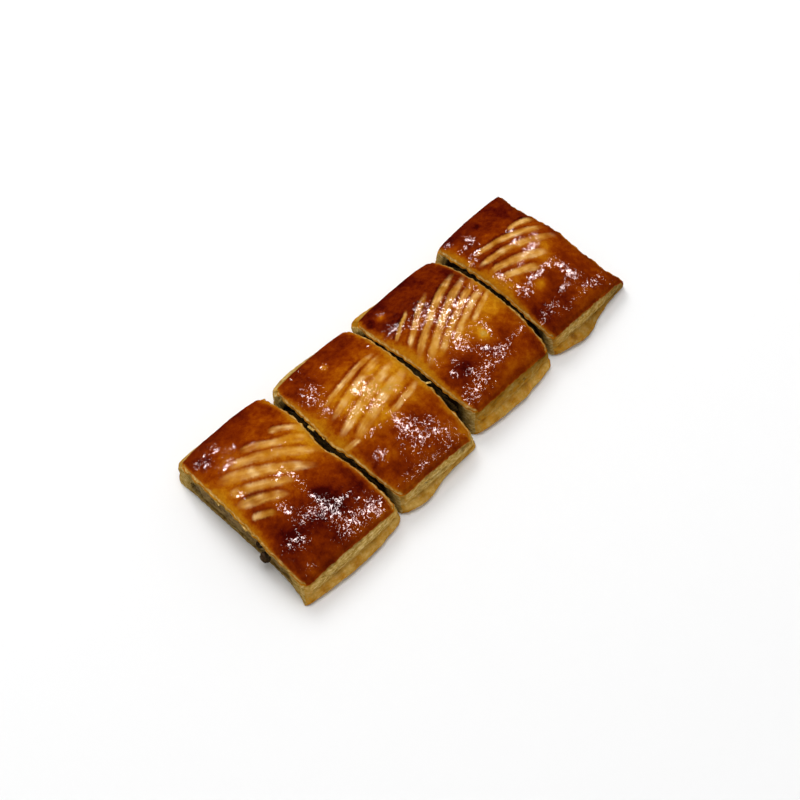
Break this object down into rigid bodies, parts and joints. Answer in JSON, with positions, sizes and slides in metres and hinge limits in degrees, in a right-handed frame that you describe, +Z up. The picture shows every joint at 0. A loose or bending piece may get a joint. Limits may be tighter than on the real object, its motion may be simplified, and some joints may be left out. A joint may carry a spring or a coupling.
{
  "type": "sausage roll",
  "caption": "Glazed puff pastry sausage roll, scored on top and cut across, its pieces still lying in their row.",
  "frame": {"origin": "centre of the row's box at the level of the surface it lies on", "axes": "+X along the row of pieces, +Y across the roll, +Z up through the glazed top"},
  "size_m": [0.227, 0.0918, 0.0247],
  "materials": {
    "glazed_crust": "egg-glazed puff pastry, glossy amber to red-brown on top, matt cream layers at the sides",
    "baked_filling": "moist baked mince filling, dark grey-brown and crumbly"
  },
  "bodies": {
    "root": {"pastry_1": "glazed_crust", "filling_1": "baked_filling", "pastry_2": "glazed_crust", "filling_2": "baked_filling", "pastry_3": "glazed_crust", "filling_3": "baked_filling", "pastry_4": "glazed_crust", "filling_4": "baked_filling"}
  },
  "joints": []
}
